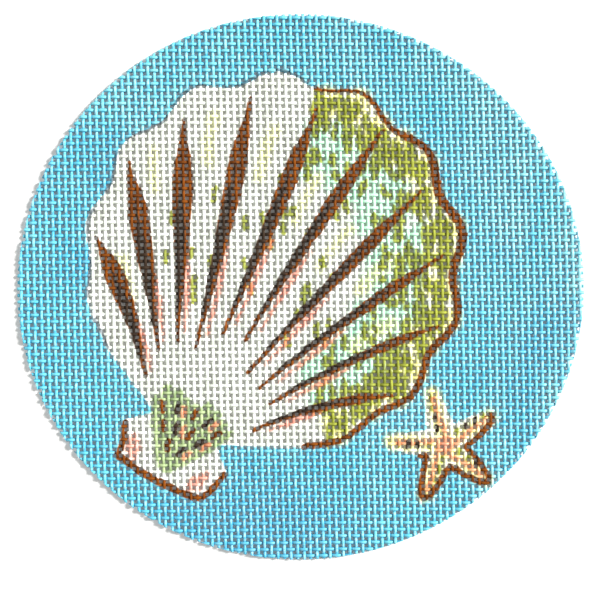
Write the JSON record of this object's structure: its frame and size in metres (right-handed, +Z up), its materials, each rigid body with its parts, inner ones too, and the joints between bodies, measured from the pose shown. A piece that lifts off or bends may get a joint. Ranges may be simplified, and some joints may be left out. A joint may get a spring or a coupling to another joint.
{
  "type": "painted needlepoint canvas",
  "caption": "Almost round piece of open-weave cotton needlepoint canvas, hand-painted with a sea shell design as a stitching guide, lying flat.",
  "frame": {"origin": "middle of the unpainted back, on the surface that the canvas lies on", "axes": "+X across the design, along the longer way across the oval; +Y towards the top of the design; +Z up, out of the painted face"},
  "size_m": [0.1214, 0.1172, 0.001],
  "materials": {
    "painted_canvas": "satin acrylic paint on sized cotton mono canvas"
  },
  "bodies": {
    "root": {"canvas": "painted_canvas"}
  },
  "joints": []
}
